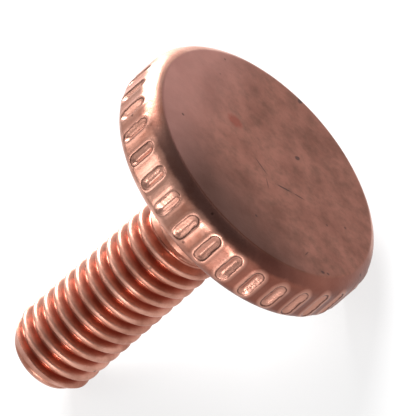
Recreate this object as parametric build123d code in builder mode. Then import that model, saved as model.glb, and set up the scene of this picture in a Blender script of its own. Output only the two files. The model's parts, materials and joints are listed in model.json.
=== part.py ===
# Thumb screw: one piece of copper, a notched disc head on a threaded shank.
# It lies on its side, on two edges of a notch in its rim and on the thread beside its tip.
# Millimetres, +Z up, with the origin on the surface under the middle of the part.
# The axis rises towards the head, which is at +X.
import os
from math import asin, atan2, ceil, cos, degrees, floor, sin

from build123d import *

# Head: a disc with a flat face, and a shoulder that slopes in from the rim to the face's broken edge
head_radius = 9.3
head_thickness = 3.6
rim_top = 2.43  # above the underside
shoulder_step = 0.32  # of the shoulder's upper edge inside the rim
shoulder_drop = 0.35  # of that edge below the face
face_step = 0.87  # of the face's edge inside the rim
under_chamfer = 0.45  # between the rim and the underside

# Notches: shallow V grooves across the rim, along the axis
notch_count = 32
notch_width = 1.0
notch_depth = 0.24
notch_overrun = 0.5  # of the cut past the rim

# Shank, with a right-hand metric thread
shank_length = 18.0
crest_radius = 2.975
thread_pitch = 1.0
thread_depth = 0.58
crest_share = 0.14  # of the pitch
root_share = 0.22  # of the pitch
neck_least = 2.6  # plain length under the head, which a part of a turn makes longer
neck_relief = 0.05  # of the neck below the thread's roots
seat_clearance = 0.03  # of the flat seat under the head around the crests

# Tip: a cone with a broken edge around its end
tip_length = 1.4
tip_radius = 2.22  # where the cone meets the broken edge
tip_edge = 0.26  # length of that edge
end_radius = 1.8

# The thread's groove, whose section widens past the crests by half of their flat
crest_flat = crest_share * thread_pitch
root_flat = root_share * thread_pitch
groove_slope = (thread_pitch - crest_flat - root_flat) / 2 / thread_depth
mouth_half = (thread_pitch - crest_flat / 2) / 2
mouth_reach = crest_flat / 4 / groove_slope

# The neck flares into the head, and reaches down past the end of the groove's last whole turn
neck_radius = crest_radius - thread_depth - neck_relief
seat_radius = crest_radius + seat_clearance
neck_flare = seat_radius - neck_radius
tip_start = tip_length - shank_length
groove_pass = tip_start + crest_flat / 2
turns_above = floor((-neck_least - mouth_half - groove_pass) / thread_pitch)
turns_below = ceil((tip_length + crest_flat / 2 + mouth_half) / thread_pitch)
groove_start = groove_pass - turns_below * thread_pitch
neck_length = mouth_half - groove_pass - turns_above * thread_pitch

# The surface touches the lower edge of the rim, beside a notch, and the crest where the tip starts
notch_angle = asin(notch_width / 2 / head_radius)
lean = atan2(head_radius * cos(notch_angle) - crest_radius, under_chamfer - tip_start)

# Reach of the head's face and of the tip along X, from the middle of the underside
face_radius = head_radius - face_step
face_reach = head_thickness * cos(lean) + face_radius * sin(lean)
tip_reach = shank_length * cos(lean) + end_radius * sin(lean)

seat_height = crest_radius * cos(lean) - tip_start * sin(lean)
seat_middle = ((tip_reach - face_reach) / 2, 0, seat_height)

# The underside's plane, square to the axis, and a plane along the axis with radius as X and height as Y
across = Plane(origin=seat_middle, x_dir=(-sin(lean), 0, cos(lean)), z_dir=(cos(lean), 0, sin(lean)))
along = Plane(origin=seat_middle, x_dir=across.x_dir, z_dir=-across.y_dir)
screw_axis = Axis(across.origin, across.z_dir)

with BuildPart() as thumb_screw:
    # Turned blank
    with BuildSketch(along) as blank_section:
        with BuildLine() as blank_outline:
            Polyline(
                (0, head_thickness),
                (face_radius, head_thickness),
                (head_radius - shoulder_step, head_thickness - shoulder_drop),
                (head_radius, rim_top),
                (head_radius, under_chamfer),
                (head_radius - under_chamfer, 0),
                (seat_radius, 0),
                (neck_radius, -neck_flare),
                (neck_radius, -neck_length),
                (crest_radius, -neck_length - thread_depth),
                (crest_radius, tip_start),
                (tip_radius, tip_edge - shank_length),
                (end_radius, -shank_length),
                (0, -shank_length),
                close=True,
            )
        make_face()
    revolve(axis=screw_axis)

    # Notches around the rim
    with BuildSketch(across) as notch_section:
        with PolarLocations(head_radius, notch_count):
            notch_mouth = notch_width / 2 * (1 + notch_overrun / notch_depth)
            Polygon(
                (-notch_depth, 0),
                (notch_overrun, -notch_mouth),
                (notch_overrun, notch_mouth),
                align=None,
            )
    extrude(amount=head_thickness, mode=Mode.SUBTRACT)

    # Thread, cut turn by turn from beyond the tip up to the neck
    with BuildLine() as groove_path:
        for turn in range(turns_below + turns_above):
            Helix(
                pitch=thread_pitch,
                height=thread_pitch,
                radius=crest_radius,
                center=along.from_local_coords((0, groove_start + turn * thread_pitch, 0)),
                direction=across.z_dir,
            )
    with BuildSketch(along) as groove_section:
        with Locations((crest_radius, groove_start)):
            Polygon(
                (-thread_depth, -root_flat / 2),
                (mouth_reach, -mouth_half),
                (mouth_reach, mouth_half),
                (-thread_depth, root_flat / 2),
                align=None,
            )
    sweep(path=groove_path.line, is_frenet=True, mode=Mode.SUBTRACT)

thumb_screw.part.label = "thumb_screw"
os.makedirs("parts", exist_ok=True)
export_step(thumb_screw.part, "parts/thumb_screw.step")
print(f"axis leans {degrees(lean):.3f} degrees, seat at {seat_middle}, volume {thumb_screw.part.volume:.2f}")
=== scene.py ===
import json
import random
from collections import Counter
from math import atan2, cos, exp, hypot, pi, radians, sin

import bpy
from mathutils import Matrix, Vector


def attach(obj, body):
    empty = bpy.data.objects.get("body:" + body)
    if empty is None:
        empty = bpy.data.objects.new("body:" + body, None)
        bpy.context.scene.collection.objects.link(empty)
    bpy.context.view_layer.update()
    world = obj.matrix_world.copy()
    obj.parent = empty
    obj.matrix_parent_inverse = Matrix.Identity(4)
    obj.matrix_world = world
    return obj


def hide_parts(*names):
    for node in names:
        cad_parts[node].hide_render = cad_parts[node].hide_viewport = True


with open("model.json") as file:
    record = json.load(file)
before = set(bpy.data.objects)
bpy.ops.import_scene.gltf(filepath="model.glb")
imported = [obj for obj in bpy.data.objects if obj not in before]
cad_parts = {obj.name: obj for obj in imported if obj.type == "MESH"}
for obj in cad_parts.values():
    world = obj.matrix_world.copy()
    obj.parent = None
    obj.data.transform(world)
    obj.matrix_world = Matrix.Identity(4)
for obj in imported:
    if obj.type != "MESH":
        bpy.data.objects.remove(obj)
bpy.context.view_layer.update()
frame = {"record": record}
mm = 0.001

# The screw is modelled upright on its own axis, with the head's underside at height 0,
# and laid down at the end
mounts = {mount["name"]: mount for mount in frame["record"]["mounts"]}
screwAxis = -Vector(mounts["bearing_face"]["axis"]).normalized()
seatPoint = Vector(mounts["bearing_face"]["pos_m"])
seatPoint.y = 0
topSide = Vector((-screwAxis.z, 0, screwAxis.x))
screwTurn = Matrix((topSide, screwAxis.cross(topSide), screwAxis)).transposed()

modelling = {
    "mergeGap": 0.002 * mm,  # vertices nearer than this become one
    "endReach": 0.1 * mm,  # how near its height an open end is looked for
    "smoothAngle": 38,  # degrees
}

headSizes = {
    "thickness": 3.6 * mm,
    "faceRings": (0, 0.3, 0.6, 0.85, 0.97),  # shares of the flat face's radius
    "shoulderTurn": 66,  # degrees
    "edgeRound": 0.5 * mm,
    "rimRadius": 9.3 * mm,
    "rimTop": 2.43 * mm,
    "rimFoot": 0.45 * mm,
    "rimFootRound": 0.28 * mm,
    "underRadius": 8.85 * mm,
    "underRound": 0.26 * mm,
    "outerRing": 0.5 * mm,  # inside the underside's edge
    "innerRing": 0.4 * mm,  # outside the seat's edge
    "seatRadius": 3.005 * mm,
    "seatRound": 0.15 * mm,
    "neckRadius": 2.345 * mm,
    "neckRound": 0.3 * mm,
    "neckEnd": -1.6 * mm,
    "roundSteps": 4,
    "rowHeight": 0.11 * mm,
    "stepsPerNotch": 24,
}

notchSizes = {
    "count": 32,
    "halfWidth": 0.41 * mm,
    "depth": 0.21 * mm,
    "lowEnd": 1.02 * mm,  # the straight stretch, between the rounded ends
    "highEnd": 2.25 * mm,
    "endSquash": 0.9,  # ends a little longer than half a circle
    "bottomRound": 0.06 * mm,
    "lipHeight": 0.04 * mm,  # metal pushed up round the notch
    "lipWidth": 0.16 * mm,
    "depthSpread": 0.14,
    "shiftSpread": 0.035 * mm,
    "slantSpread": 0.02,
    "highSpread": 0.08 * mm,
    "lowSpread": 0.06 * mm,
    "seed": 5,
    "inward": 0.6 * mm,  # how far inside the underside's edge the rim is reshaped
    "farReach": 3.0,  # stored where no notch is near
}

threadSizes = {
    "pitch": 1.0 * mm,
    "turns": 20,
    "turnsBelow": 4,  # started below the crest by the tip
    "crestRadius": 2.975 * mm,
    "rootRadius": 2.395 * mm,
    "crestHalf": 0.15 * mm,
    "rootHalf": 0.1 * mm,
    "crestRound": 0.11 * mm,
    "rootRound": 0.08 * mm,
    "roundSteps": 3,
    "flankStep": 0.17 * mm,
    "stepsPerTurn": 84,
    "crestAtBottom": -16.53 * mm,  # height of a crest on the side that lies on the floor
    "tipStart": -16.6 * mm,
    "tipEdgeRadius": 2.22 * mm,
    "tipEdge": -17.74 * mm,
    "tipEndRadius": 1.8 * mm,
    "tipEnd": -18.0 * mm,
    "tipRings": (0.93, 0.6),  # each a share of the ring before
    "endBlend": 0.15 * mm,  # softness of the tip's broken edge
    "neckFoot": -3.995 * mm,
    "shankTop": -1.8 * mm,  # where it is joined to the head's neck
    "blend": 0.03 * mm,  # softness of the turned edges across the thread
    "cutMerge": 0.02 * mm,  # short edges along a cut are closed up
    "cutReach": 0.0001 * mm,
}


def makeActive(piece):
    if bpy.context.object and bpy.context.object.mode != "OBJECT":
        bpy.ops.object.mode_set(mode="OBJECT")
    bpy.ops.object.select_all(action="DESELECT")
    if piece:
        bpy.context.view_layer.objects.active = piece
        piece.select_set(True)


def drawLine(name, points):
    # a plane merged to one vertex, then extruded from point to point
    makeActive(None)
    bpy.ops.mesh.primitive_plane_add(size=mm)
    line = bpy.context.object
    line.name = name
    bpy.ops.object.mode_set(mode="EDIT")
    bpy.ops.mesh.select_mode(type="VERT")
    bpy.ops.mesh.select_all(action="SELECT")
    bpy.ops.mesh.merge(type="CENTER")
    bpy.ops.transform.translate(value=(points[0][0], 0, points[0][1]))
    for (radius, height), (nextRadius, nextHeight) in zip(points, points[1:]):
        step = (nextRadius - radius, 0, nextHeight - height)
        bpy.ops.mesh.extrude_region_move(TRANSFORM_OT_translate={"value": step})
    bpy.ops.object.mode_set(mode="OBJECT")
    return line


def selectOnly(piece, wanted):
    # the vertices at these indices, and the edges between them
    makeActive(piece)
    bpy.ops.object.mode_set(mode="EDIT")
    bpy.ops.mesh.select_mode(type="VERT")
    bpy.ops.mesh.select_all(action="DESELECT")
    bpy.ops.object.mode_set(mode="OBJECT")
    for index in wanted:
        piece.data.vertices[index].select = True
    bpy.ops.object.mode_set(mode="EDIT")


def selectOpenEdges(piece, low, high):
    # edges with one face only, between two heights
    selectOnly(piece, [])
    bpy.ops.mesh.select_mode(type="EDGE")
    bpy.ops.object.mode_set(mode="OBJECT")
    low, high = low - modelling["endReach"], high + modelling["endReach"]
    faces = Counter(key for face in piece.data.polygons for key in face.edge_keys)
    for edge in piece.data.edges:
        heights = [piece.data.vertices[index].co.z for index in edge.vertices]
        edge.select = faces[edge.key] == 1 and low < min(heights) and max(heights) < high
    bpy.ops.object.mode_set(mode="EDIT")


def roundCorner(line, corner, size, steps):
    place = Vector((corner[0], 0, corner[1]))
    nearest = min(line.data.vertices, key=lambda vertex: (vertex.co - place).length)
    selectOnly(line, [nearest.index])
    bpy.ops.mesh.bevel(offset=size, offset_type="OFFSET", segments=steps, affect="VERTICES")
    bpy.ops.object.mode_set(mode="OBJECT")


def divideEdges(line, low, high, longest):
    # stretches of the outline between two heights are cut into short ones
    vertices = line.data.vertices
    ends = [[vertices[index].co.copy() for index in edge.vertices] for edge in line.data.edges]
    for start, end in ends:
        cuts = int((start - end).length / longest)
        if cuts and low < (start.z + end.z) / 2 < high:
            selectOnly(line, [v.index for v in line.data.vertices if v.co in (start, end)])
            bpy.ops.mesh.subdivide(number_cuts=cuts)
            bpy.ops.object.mode_set(mode="OBJECT")


def turnLine(line, steps, rise, turns):
    # the line goes round the axis, and up by the rise in each turn
    makeActive(line)
    screw = line.modifiers.new("turning", "SCREW")
    screw.axis = "Z"
    screw.angle = 2 * pi
    screw.screw_offset = rise
    screw.iterations = turns
    screw.steps = screw.render_steps = steps
    screw.use_merge_vertices = rise == 0
    screw.merge_threshold = modelling["mergeGap"]
    bpy.ops.object.modifier_apply(modifier=screw.name)
    bpy.ops.object.mode_set(mode="EDIT")
    bpy.ops.mesh.select_all(action="SELECT")
    bpy.ops.mesh.remove_doubles(threshold=modelling["mergeGap"])
    bpy.ops.object.mode_set(mode="OBJECT")


def shoulderCurve():
    # it starts along the rim, and a tighter curve takes it over into the face
    s = headSizes
    turn, edgeRound = radians(s["shoulderTurn"]), s["edgeRound"]
    shoulderRound = (s["thickness"] - s["rimTop"] - edgeRound * (1 - sin(turn))) / sin(turn)
    points = []
    for step in range(11):
        tilt = turn * step / 10
        inward, upward = shoulderRound * (1 - cos(tilt)), shoulderRound * sin(tilt)
        points.append((s["rimRadius"] - inward, s["rimTop"] + upward))
    flatRadius = points[-1][0] - edgeRound * cos(turn)
    for step in range(1, 6):
        tilt = turn + (pi / 2 - turn) * step / 5
        outward, downward = edgeRound * cos(tilt), edgeRound * (1 - sin(tilt))
        points.append((flatRadius + outward, s["thickness"] - downward))
    return points


def makeHead():
    s = headSizes
    shoulder = shoulderCurve()
    flatRadius = shoulder[-1][0]
    # rings across the face and the underside keep both flat up to their edges
    outline = [(share * flatRadius, s["thickness"]) for share in s["faceRings"]] + shoulder[::-1]
    below = [
        ((s["rimRadius"], s["rimFoot"]), s["rimFootRound"]),
        ((s["underRadius"], 0), s["underRound"]),
        ((s["underRadius"] - s["outerRing"], 0), 0),
        ((s["underRadius"] / 2, 0), 0),
        ((s["seatRadius"] + s["innerRing"], 0), 0),
        ((s["seatRadius"], 0), s["seatRound"]),
        ((s["neckRadius"], s["neckRadius"] - s["seatRadius"]), s["neckRound"]),
        ((s["neckRadius"], s["neckEnd"]), 0),
    ]
    head = drawLine("thumbScrew", outline + [corner for corner, size in below])
    for corner, size in below:
        if size:
            roundCorner(head, corner, size, s["roundSteps"])
    divideEdges(head, s["rimFoot"], s["rimTop"], s["rowHeight"])
    turnLine(head, notchSizes["count"] * s["stepsPerNotch"], 0, 1)
    print("head turned:", len(head.data.vertices), "vertices")
    return head


def storeMeasure(piece, name, values):
    # a value on each vertex, which the material reads
    piece.data.attributes.new(name, "FLOAT", "POINT").data.foreach_set("value", values)


def drawCuts():
    # no two notches are quite alike
    s = notchSizes
    draw = random.Random(s["seed"])
    cuts = []
    for _ in range(s["count"]):
        cuts.append(
            {
                "depth": s["depth"] * (1 + draw.uniform(-1, 1) * s["depthSpread"]),
                "shift": draw.uniform(-1, 1) * s["shiftSpread"],
                "slant": draw.uniform(-1, 1) * s["slantSpread"],
                "high": s["highEnd"] + draw.uniform(-1, 1) * s["highSpread"],
                "low": s["lowEnd"] + draw.uniform(-1, 1) * s["lowSpread"],
            }
        )
    return cuts


def pressNotches(head):
    s = notchSizes
    cuts = drawCuts()
    reaches = [s["farReach"]] * len(head.data.vertices)
    spacing = 2 * pi / s["count"]
    middleHeight = (s["lowEnd"] + s["highEnd"]) / 2
    for vertex in head.data.vertices:
        radius, height = hypot(vertex.co.x, vertex.co.y), vertex.co.z
        if radius < headSizes["underRadius"] - s["inward"]:
            continue
        turn = atan2(vertex.co.y, vertex.co.x)
        nearest = round(turn / spacing)
        cut = cuts[nearest % s["count"]]
        across = radius * (turn - nearest * spacing)
        along = height - min(max(height, cut["low"]), cut["high"])
        reach = hypot(across, along * s["endSquash"])
        reaches[vertex.index] = reach / s["halfWidth"]
        sunk = cut["depth"] * max(0, 1 - hypot(reach, s["bottomRound"]) / s["halfWidth"])
        raised = s["lipHeight"] * exp(-(((reach - s["halfWidth"]) / s["lipWidth"] - 0.5) ** 2))
        # the columns follow the notch where it is a little out of place
        hold = cos(pi * (turn / spacing - nearest)) ** 2
        turn += hold * (cut["shift"] + cut["slant"] * (height - middleHeight)) / radius
        radius += raised - sunk
        vertex.co.x, vertex.co.y = radius * cos(turn), radius * sin(turn)
    storeMeasure(head, "notchReach", reaches)
    storeMeasure(head, "groove", [0.0] * len(reaches))
    print("notches pressed:", s["count"])


def softMin(a, b, blend):
    # the smaller of two lengths, with the corner between them rounded
    h = max(0, min(1, 0.5 + 0.5 * (b - a) / blend))
    return b + (a - b) * h - blend * h * (1 - h)


def turnedRadius(height):
    # what the lathe leaves of the shank at a height: tip cone, its end's edge and the neck
    s = threadSizes
    tipSlope = (s["crestRadius"] - s["tipEdgeRadius"]) / (s["tipStart"] - s["tipEdge"])
    endSlope = (s["tipEdgeRadius"] - s["tipEndRadius"]) / (s["tipEdge"] - s["tipEnd"])
    tip = s["tipEdgeRadius"] + tipSlope * (height - s["tipEdge"])
    end = s["tipEndRadius"] + endSlope * (height - s["tipEnd"])
    neck = headSizes["neckRadius"] + max(0, s["neckFoot"] - height)
    return min(softMin(tip, end, s["endBlend"]), neck)


def cutThread():
    # one turn's outline, from root to root, wound up the shank
    s = threadSizes
    crest, root, pitch = s["crestRadius"], s["rootRadius"], s["pitch"]
    corners = [
        (root, 0),
        (root, s["rootHalf"]),
        (crest, pitch / 2 - s["crestHalf"]),
        (crest, pitch / 2 + s["crestHalf"]),
        (root, pitch - s["rootHalf"]),
        (root, pitch),
    ]
    # the first turn starts below the tip, with a crest on the floor's side half a turn on
    start = s["crestAtBottom"] - s["turnsBelow"] * pitch
    corners = [(radius, start + height) for radius, height in corners]
    shank = drawLine("shank", corners)
    for corner, size in zip(corners[1:5], ("rootRound", "crestRound", "crestRound", "rootRound")):
        roundCorner(shank, corner, s[size], s["roundSteps"])
    divideEdges(shank, start, start + pitch, s["flankStep"])
    turnLine(shank, s["stepsPerTurn"], pitch, s["turns"])
    return shank


def makeShank():
    s = threadSizes
    shank = cutThread()
    # square ends: the tip's gets its face, the neck's stays open for the head
    bpy.ops.object.mode_set(mode="EDIT")
    for end, side in ((s["tipEnd"], -1), (s["shankTop"], 1)):
        bpy.ops.mesh.select_all(action="SELECT")
        bpy.ops.mesh.bisect(
            plane_co=(0, 0, end), plane_no=(0, 0, side), clear_outer=True, threshold=s["cutReach"]
        )
        bpy.ops.mesh.remove_doubles(threshold=s["cutMerge"])
    bpy.ops.object.mode_set(mode="OBJECT")
    grooves = []
    for vertex in shank.data.vertices:
        radius = hypot(vertex.co.x, vertex.co.y)
        turned = turnedRadius(vertex.co.z)
        newRadius = softMin(radius, turned, s["blend"])
        depth = max(0, min(s["crestRadius"], turned) - newRadius)
        grooves.append(depth / (s["crestRadius"] - s["rootRadius"]))
        vertex.co.x *= newRadius / radius
        vertex.co.y *= newRadius / radius
    storeMeasure(shank, "groove", grooves)
    storeMeasure(shank, "notchReach", [notchSizes["farReach"]] * len(grooves))
    selectOpenEdges(shank, s["tipEnd"], s["tipEnd"])
    for share in s["tipRings"]:
        bpy.ops.mesh.extrude_region_move()
        bpy.ops.transform.resize(value=(share, share, 1), center_override=(0, 0, s["tipEnd"]))
    bpy.ops.mesh.extrude_region_move()
    bpy.ops.mesh.merge(type="CENTER")
    bpy.ops.object.mode_set(mode="OBJECT")
    print("thread turned:", len(shank.data.vertices), "vertices")
    return shank


def joinScrew(head, shank):
    makeActive(head)
    shank.select_set(True)
    bpy.ops.object.join()
    selectOpenEdges(head, threadSizes["shankTop"], headSizes["neckEnd"])
    bpy.ops.mesh.bridge_edge_loops()
    bpy.ops.mesh.select_all(action="SELECT")
    bpy.ops.mesh.normals_make_consistent(inside=False)
    bpy.ops.object.mode_set(mode="OBJECT")
    # laid down as the CAD screw lies, with its place in the mesh
    head.matrix_world = Matrix.Translation(seatPoint) @ screwTurn.to_4x4()
    bpy.ops.object.transform_apply(location=True, rotation=True, scale=True)
    bpy.ops.object.shade_smooth_by_angle(angle=radians(modelling["smoothAngle"]))


thumbScrew = makeHead()
pressNotches(thumbScrew)
joinScrew(thumbScrew, makeShank())
triangles = sum(len(face.vertices) - 2 for face in thumbScrew.data.polygons)
print("screw modelled:", triangles, "triangles")


def linear(hexColour):
    parts = [int(hexColour[i : i + 2], 16) / 255 for i in (1, 3, 5)]
    return [p / 12.92 if p <= 0.04045 else ((p + 0.055) / 1.055) ** 2.4 for p in parts] + [1]


def addNode(tree, kind, settings=None, links=None):
    # a named setting is the node's own choice where it has that, and any other is a socket's value
    node = tree.nodes.new(kind)
    for name, value in (settings or {}).items():
        if isinstance(name, str) and hasattr(node, name):
            setattr(node, name, value)
        else:
            node.inputs[name].default_value = value
    for name, source in (links or {}).items():
        tree.links.new(source, node.inputs[name])
    return node


copperLook = {
    "clean": "#d6a08d",
    "tarnish": "#a56d5a",
    # painted shade: the darker red that the rim takes towards one side
    "paintedShadeRed": "#764337",
    # the face: tarnish, made darker than the rim partly as painted shade for the dim reflection it shows
    "face": "#9a6252",
    "facePatch": "#8a5748",
    "faceSpeck": "#6b4535",
    # painted shade and painted highlight on the face, towards opposite sides
    "paintedFaceShadeColour": "#583226",
    "paintedFaceSheenColour": "#b37e74",
    # painted shade: the dark band on the shoulder
    "dirt": "#3f2725",
    # oxide in the thread's groove, partly painted shade
    "grooveOxideAndShade": "#964531",
    "spot": "#3c221e",
    "mottle": 2.6 * mm,  # size of the clouds in the tarnish
    "speckle": 0.8 * mm,
    "grain": 0.2 * mm,
    "pitSpacing": 1.7 * mm,
    "scratchWidth": 0.06 * mm,
    "scratchTurn": 0.6,  # radians, across the face
    "scratchStretch": 0.04,  # width over length
    "rimRoughness": 0.33,
    "faceRoughness": 0.4,
    "crestRoughness": 0.44,
    "grooveRoughness": 0.29,
    "roughnessSpread": 0.12,
    "bumpHeight": 0.012 * mm,
    "notchBump": 5,  # the notches' rough bottoms, against the rim's relief
    "paintedBandLow": 3.3 * mm,  # heights between which the painted dark band on the shoulder sets in
    "dirtHigh": 3.55 * mm,
    "paintedBandRagged": 0.9 * mm,
    "paintedBandShare": 0.6,
}

# painted shade and painted highlight towards one side: degrees round the axis from the top, where it starts
# and ends, most
copperSides = {
    "paintedShadeSide": (120, 3.5 * mm, 8 * mm, 0.9),  # painted shade: the rim darker and redder towards one side, for the shaded floor it reflects
    # painted shade on the face towards one side, and a painted highlight towards the other
    "paintedFaceShade": (53, 1.5 * mm, 8 * mm, 1),
    "paintedFaceSheen": (-25, 2 * mm, 8.5 * mm, 0.8),
    # painted shade: the side where the shoulder's dark band lies
    "paintedBandSide": (60, 4.5 * mm, 7.5 * mm, 1),
}

# marks on the face, in millimetres from its middle: x, y, turn, half length, half width, strength, stain
faceMarks = [
    (2.56, -2.02, 0, 0.6, 0.5, 0.75, "#8c4131"),
    (-1.3, 1.42, 6, 0.6, 0.08, 0.8, "#3c221e"),
    (-2.5, 1.32, 2, 0.5, 0.06, 0.7, "#3c221e"),
    (-2.53, -2.2, 40, 0.24, 0.17, 0.8, "#3c221e"),
    (0.55, 0.68, 137, 0.65, 0.06, 0.7, "#4a2c25"),
    (0.1, 1.9, 100, 0.45, 0.05, 0.6, "#4a2c25"),
    (-3.03, -7.9, 70, 0.4, 0.2, 0.8, "#3c221e"),
    (-4.17, 7.0, 20, 0.18, 0.12, 0.75, "#3c221e"),
    (-4.6, 6.85, 0, 0.12, 0.1, 0.7, "#3c221e"),
    (-2.9, 6.2, 60, 0.3, 0.05, 0.6, "#3c221e"),
]


def copperPatterns(tree):
    # what the colour, the roughness and the relief all read, in the upright screw's own place
    look, faceTop = copperLook, headSizes["thickness"]
    place = addNode(tree, "ShaderNodeTexCoord").outputs["Object"]
    lying = {"vector_type": "TEXTURE", "Location": seatPoint, "Rotation": screwTurn.to_euler()}
    onScrew = addNode(tree, "ShaderNodeMapping", lying, {"Vector": place}).outputs[0]
    height = addNode(tree, "ShaderNodeSeparateXYZ", links={"Vector": onScrew}).outputs["Z"]
    patterns = {"onScrew": onScrew, "height": height}
    faceEdge = {1: faceTop - 0.05 * mm, 2: faceTop - 0.01 * mm}
    patterns["onFace"] = addNode(tree, "ShaderNodeMapRange", faceEdge, {0: height}).outputs[0]
    for name, detail, roughness in (("mottle", 6, 0.62), ("speckle", 5, 0.65), ("grain", 4, 0.6)):
        cloud = {"Scale": 1 / look[name], "Detail": detail, "Roughness": roughness}
        patterns[name] = addNode(tree, "ShaderNodeTexNoise", cloud, {"Vector": onScrew}).outputs[0]
    patterns["patches"] = addNode(
        tree, "ShaderNodeMapRange", {1: 0.38, 2: 0.66}, {0: patterns["mottle"]}
    ).outputs[0]
    for name in ("notchReach", "groove"):
        patterns[name] = addNode(tree, "ShaderNodeAttribute", {"attribute_name": name}).outputs["Fac"]
    for name, (turn, start, end, most) in copperSides.items():
        outward = {"operation": "DOT_PRODUCT", 1: (cos(radians(turn)), sin(radians(turn)), 0)}
        towards = addNode(tree, "ShaderNodeVectorMath", outward, {0: onScrew}).outputs["Value"]
        growth = {"interpolation_type": "SMOOTHSTEP", 1: start, 2: end, 4: most}
        patterns[name] = addNode(tree, "ShaderNodeMapRange", growth, {0: towards}).outputs[0]
    return patterns


def rimColours(tree, patterns):
    look = copperLook
    tarnish = {"data_type": "RGBA", 6: linear(look["clean"]), 7: linear(look["tarnish"])}
    colour = addNode(tree, "ShaderNodeMix", tarnish, {0: patterns["patches"]}).outputs[2]
    # painted shade: darker and redder towards one side
    paintedShadeRed = {"data_type": "RGBA", 7: linear(look["paintedShadeRed"])}
    return addNode(tree, "ShaderNodeMix", paintedShadeRed, {0: patterns["paintedShadeSide"], 6: colour}).outputs[2]


def faceColours(tree, patterns):
    look = copperLook
    # tarnish on the face, darker partly as painted shade
    patchy = {"data_type": "RGBA", 6: linear(look["face"]), 7: linear(look["facePatch"])}
    colour = addNode(tree, "ShaderNodeMix", patchy, {0: patterns["patches"]}).outputs[2]
    speckled = addNode(
        tree, "ShaderNodeMapRange", {1: 0.42, 2: 0.72, 4: 0.7}, {0: patterns["speckle"]}
    ).outputs[0]
    # painted shade darker towards one side of the face, and a painted highlight paler towards the other
    layers = [
        (speckled, look["faceSpeck"]),
        (patterns["paintedFaceShade"], look["paintedFaceShadeColour"]),
        (patterns["paintedFaceSheen"], look["paintedFaceSheenColour"]),
    ]
    # each mark is a long spot with an edge made ragged by the grain
    for x, y, turn, halfLength, halfWidth, strength, stain in faceMarks:
        onMark = {
            "vector_type": "TEXTURE",
            "Location": (x * mm, y * mm, 0),
            "Rotation": (0, 0, radians(turn)),
            "Scale": (halfLength * mm, halfWidth * mm, 1),
        }
        near = addNode(tree, "ShaderNodeMapping", onMark, {"Vector": patterns["onScrew"]}).outputs[0]
        away = addNode(tree, "ShaderNodeVectorMath", {"operation": "LENGTH"}, {0: near}).outputs["Value"]
        ragged = addNode(
            tree, "ShaderNodeMath", {"operation": "ADD"}, {0: away, 1: patterns["grain"]}
        ).outputs[0]
        share = addNode(
            tree, "ShaderNodeMapRange", {1: 1.65, 2: 1.15, 4: strength}, {0: ragged}
        ).outputs[0]
        layers.append((share, stain))
    for share, hexColour in layers:
        layer = {"data_type": "RGBA", 7: linear(hexColour)}
        colour = addNode(tree, "ShaderNodeMix", layer, {0: share, 6: colour}).outputs[2]
    return colour


def notchOutline(tree, patterns):
    # a dark wavering line along the notches' edges, with gaps
    wavering = addNode(
        tree,
        "ShaderNodeMath",
        {"operation": "MULTIPLY_ADD", 1: 0.7},
        {0: patterns["speckle"], 2: patterns["notchReach"]},
    ).outputs[0]
    inside = addNode(tree, "ShaderNodeMapRange", {1: 1.12, 2: 1.27}, {0: wavering}).outputs[0]
    outside = addNode(tree, "ShaderNodeMapRange", {1: 1.45, 2: 1.33}, {0: wavering}).outputs[0]
    gaps = addNode(
        tree, "ShaderNodeMapRange", {1: 0.34, 2: 0.5, 4: 0.85}, {0: patterns["mottle"]}
    ).outputs[0]
    onEdge = addNode(tree, "ShaderNodeMath", {"operation": "MULTIPLY"}, {0: inside, 1: outside}).outputs[0]
    return addNode(tree, "ShaderNodeMath", {"operation": "MULTIPLY"}, {0: onEdge, 1: gaps}).outputs[0]


def shoulderPaintedBand(tree, patterns):
    # a painted dark band on the shoulder, standing for a dark reflection, that stops short of the face and
    # has a ragged lower edge
    look = copperLook
    rise = addNode(
        tree,
        "ShaderNodeMath",
        {"operation": "MULTIPLY_ADD", 1: look["paintedBandRagged"]},
        {0: patterns["mottle"], 2: patterns["height"]},
    ).outputs[0]
    band = addNode(
        tree,
        "ShaderNodeMapRange",
        {"interpolation_type": "SMOOTHSTEP", 1: look["paintedBandLow"], 2: look["dirtHigh"], 4: look["paintedBandShare"]},
        {0: rise},
    ).outputs[0]
    offFace = addNode(tree, "ShaderNodeMapRange", {3: 1, 4: 0}, {0: patterns["onFace"]}).outputs[0]
    for share in (patterns["paintedBandSide"], offFace):
        band = addNode(tree, "ShaderNodeMath", {"operation": "MULTIPLY"}, {0: share, 1: band}).outputs[0]
    return band


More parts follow.
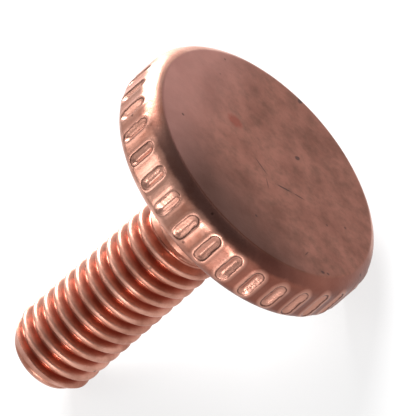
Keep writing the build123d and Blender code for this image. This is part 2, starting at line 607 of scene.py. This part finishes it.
def copperColour(tree, patterns):
    look = copperLook
    colour = addNode(
        tree,
        "ShaderNodeMix",
        {"data_type": "RGBA"},
        {0: patterns["onFace"], 6: rimColours(tree, patterns), 7: faceColours(tree, patterns)},
    ).outputs[2]
    # red oxide in the thread's groove, deepened there as painted shade, and hands keep the notches' lips
    # bright
    inGrooveOxideAndShade = addNode(
        tree, "ShaderNodeMapRange", {1: 0.15, 2: 0.8, 4: 0.75}, {0: patterns["groove"]}
    ).outputs[0]
    worn = addNode(
        tree, "ShaderNodeMapRange", {1: 1.75, 2: 1.15, 4: 0.6}, {0: patterns["notchReach"]}
    ).outputs[0]
    # small pits, a few to a square centimetre
    spread = {"Scale": 1 / look["pitSpacing"], "Randomness": 1}
    pits = addNode(tree, "ShaderNodeTexVoronoi", spread, {"Vector": patterns["onScrew"]}).outputs["Distance"]
    pitted = addNode(tree, "ShaderNodeMapRange", {1: 0.08, 2: 0.04, 4: 0.7}, {0: pits}).outputs[0]
    layers = [
        (inGrooveOxideAndShade, "grooveOxideAndShade"),
        (worn, "clean"),
        (notchOutline(tree, patterns), "spot"),
        # painted shade: the dark band on the shoulder
        (shoulderPaintedBand(tree, patterns), "dirt"),
        (pitted, "spot"),
    ]
    for share, name in layers:
        layer = {"data_type": "RGBA", 7: linear(look[name])}
        colour = addNode(tree, "ShaderNodeMix", layer, {0: share, 6: colour}).outputs[2]
    return colour


def copperRoughness(tree, patterns):
    # the thread's crests are rubbed dull, and its groove keeps the tool's shine
    look = copperLook
    onHead = addNode(
        tree,
        "ShaderNodeMapRange",
        {3: look["rimRoughness"], 4: look["faceRoughness"]},
        {0: patterns["onFace"]},
    ).outputs[0]
    onThread = addNode(
        tree,
        "ShaderNodeMapRange",
        {2: 0.6, 3: look["crestRoughness"], 4: look["grooveRoughness"]},
        {0: patterns["groove"]},
    ).outputs[0]
    onShank = addNode(
        tree, "ShaderNodeMapRange", {1: -1 * mm, 2: -2 * mm}, {0: patterns["height"]}
    ).outputs[0]
    even = addNode(
        tree, "ShaderNodeMix", {"data_type": "FLOAT"}, {0: onShank, 2: onHead, 3: onThread}
    ).outputs[0]
    return addNode(
        tree,
        "ShaderNodeMath",
        {"operation": "MULTIPLY_ADD", 1: look["roughnessSpread"]},
        {0: patterns["patches"], 2: even},
    ).outputs[0]


def copperRelief(tree, patterns):
    # grain all over, fine scratches along one direction, and rough bottoms in the notches
    look = copperLook
    along = {"Rotation": (0, 0, look["scratchTurn"]), "Scale": (look["scratchStretch"], 1, 1)}
    scratchPlace = addNode(tree, "ShaderNodeMapping", along, {"Vector": patterns["onScrew"]}).outputs[0]
    width = {"Scale": 0.5 / look["scratchWidth"], "Detail": 2}
    scratches = addNode(tree, "ShaderNodeTexNoise", width, {"Vector": scratchPlace}).outputs[0]
    relief = addNode(
        tree,
        "ShaderNodeMath",
        {"operation": "MULTIPLY_ADD", 1: 0.4},
        {0: scratches, 2: patterns["grain"]},
    ).outputs[0]
    inNotch = addNode(
        tree,
        "ShaderNodeMapRange",
        {1: 0.95, 2: 0.6, 4: look["notchBump"]},
        {0: patterns["notchReach"]},
    ).outputs[0]
    relief = addNode(
        tree,
        "ShaderNodeMath",
        {"operation": "MULTIPLY_ADD"},
        {0: inNotch, 1: patterns["speckle"], 2: relief},
    ).outputs[0]
    strength = addNode(tree, "ShaderNodeMapRange", {3: 0.75, 4: 0.3}, {0: patterns["onFace"]}).outputs[0]
    return addNode(
        tree,
        "ShaderNodeBump",
        {"Distance": look["bumpHeight"]},
        {"Strength": strength, "Height": relief},
    ).outputs[0]


def makeCopper():
    # bare copper, turned and pressed, tarnished in the hand: dull and brown on the face, partly as painted
    # shade, with painted shade, a painted highlight and a painted dark band towards its sides, bright on
    # worn edges
    material = bpy.data.materials.new("turned copper, tarnished, with painted shade")
    material.use_nodes = True
    tree = material.node_tree
    shader = tree.nodes["Principled BSDF"]
    shader.inputs["Metallic"].default_value = 1
    patterns = copperPatterns(tree)
    tree.links.new(copperColour(tree, patterns), shader.inputs["Base Color"])
    tree.links.new(copperRoughness(tree, patterns), shader.inputs["Roughness"])
    tree.links.new(copperRelief(tree, patterns), shader.inputs["Normal"])
    return material


thumbScrew.data.materials.clear()
thumbScrew.data.materials.append(makeCopper())
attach(thumbScrew, "root")
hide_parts("thumb_screw")
print("copper made")

stageLook = {
    "floor": "#f4f4f4",
    "floorSize": 3,
    "floorRoughness": 0.9,
    "glow": 0.78,  # share of plain white that the camera and the metal see in the floor
    "room": "#a6a6a6",
    "card": "#767276",
    "cardDirection": (0.8, -0.02, 0.52),
    "cardEdge": (0.3, 0.66),  # cosines of the angles where it starts and is full
}


def makeFloor():
    makeActive(None)
    bpy.ops.mesh.primitive_plane_add(size=stageLook["floorSize"])
    floor = bpy.context.object
    floor.name = "floor"
    material = bpy.data.materials.new("white table")
    material.use_nodes = True
    tree = material.node_tree
    surface = tree.nodes["Principled BSDF"]
    surface.inputs["Base Color"].default_value = linear(stageLook["floor"])
    surface.inputs["Roughness"].default_value = stageLook["floorRoughness"]
    rays = addNode(tree, "ShaderNodeLightPath").outputs
    seen = rays["Is Camera Ray"]
    for ray in ("Is Glossy Ray", "Is Transmission Ray"):
        seen = addNode(tree, "ShaderNodeMath", {"operation": "MAXIMUM"}, {0: seen, 1: rays[ray]}).outputs[0]
    share = addNode(
        tree, "ShaderNodeMath", {"operation": "MULTIPLY", 1: stageLook["glow"]}, {0: seen}
    ).outputs[0]
    glow = addNode(tree, "ShaderNodeEmission").outputs[0]
    both = addNode(tree, "ShaderNodeMixShader", links={0: share, 1: surface.outputs[0], 2: glow})
    tree.links.new(both.outputs[0], tree.nodes["Material Output"].inputs["Surface"])
    floor.data.materials.append(material)


def makeRoom():
    # pale all round, with a darker card over the right
    world = bpy.data.worlds.new("room")
    bpy.context.scene.world = world
    world.use_nodes = True
    tree = world.node_tree
    direction = addNode(tree, "ShaderNodeTexCoord").outputs["Generated"]
    card = {"operation": "DOT_PRODUCT", 1: Vector(stageLook["cardDirection"]).normalized()}
    towards = addNode(tree, "ShaderNodeVectorMath", card, {0: direction}).outputs["Value"]
    start, full = stageLook["cardEdge"]
    edge = {"interpolation_type": "SMOOTHSTEP", 1: start, 2: full}
    onCard = addNode(tree, "ShaderNodeMapRange", edge, {0: towards}).outputs[0]
    greys = {"data_type": "RGBA", 6: linear(stageLook["room"]), 7: linear(stageLook["card"])}
    colour = addNode(tree, "ShaderNodeMix", greys, {0: onCard}).outputs[2]
    tree.links.new(colour, tree.nodes["Background"].inputs["Color"])


# round lamps, in metres and watts, aimed at the middle of the screw
lampMiddle = Vector((0, 0, 0.008))
lamps = {
    "backLamp": {"direction": (-0.05, 0.84, 0.48), "distance": 0.5, "size": 0.3, "power": 7.0},
    "leftLamp": {"direction": (-0.76, 0.05, 0.62), "distance": 0.6, "size": 0.32, "power": 0.85},
    "frontLamp": {"direction": (-0.25, -0.95, 0.12), "distance": 0.5, "size": 0.08, "power": 1.3},
}


def addLamp(name, direction, distance, size, power):
    away = Vector(direction).normalized()
    bpy.ops.object.light_add(type="AREA", location=lampMiddle + away * distance)
    lamp = bpy.context.object
    lamp.name = name
    lamp.data.shape = "DISK"
    lamp.data.size = size
    lamp.data.energy = power
    lamp.rotation_euler = away.to_track_quat("Z", "Y").to_euler()


# turned so that the axis rises to the right, with a long lens, as the head's far edge looks no smaller
cameraView = {
    "distance": 0.7,
    "frameWidth": 25.54 * mm,
    "right": (0.8768, -0.0285, -0.4801),
    "up": (0.3714, 0.6743, 0.6382),
    "back": (0.3055, -0.7379, 0.6018),
    "aimLeft": 1.289 * mm,  # from the middle of the head's underside
    "aimDown": 0.694 * mm,
}


def addCamera():
    s = cameraView
    right, up, back = (Vector(s[name]) for name in ("right", "up", "back"))
    aim = seatPoint - right * s["aimLeft"] - up * s["aimDown"]
    bpy.ops.object.camera_add()
    camera = bpy.context.object
    turn = Matrix((right, up, back)).transposed().to_4x4()
    camera.matrix_world = Matrix.Translation(aim + back * s["distance"]) @ turn
    camera.data.lens = camera.data.sensor_width * s["distance"] / s["frameWidth"]
    camera.data.clip_start = 0.01
    camera.data.clip_end = 20
    bpy.context.scene.camera = camera


makeFloor()
makeRoom()
for name, settings in lamps.items():
    addLamp(name, **settings)
addCamera()
bpy.context.scene.view_settings.view_transform = "Standard"
print("stage, lamps and camera set")
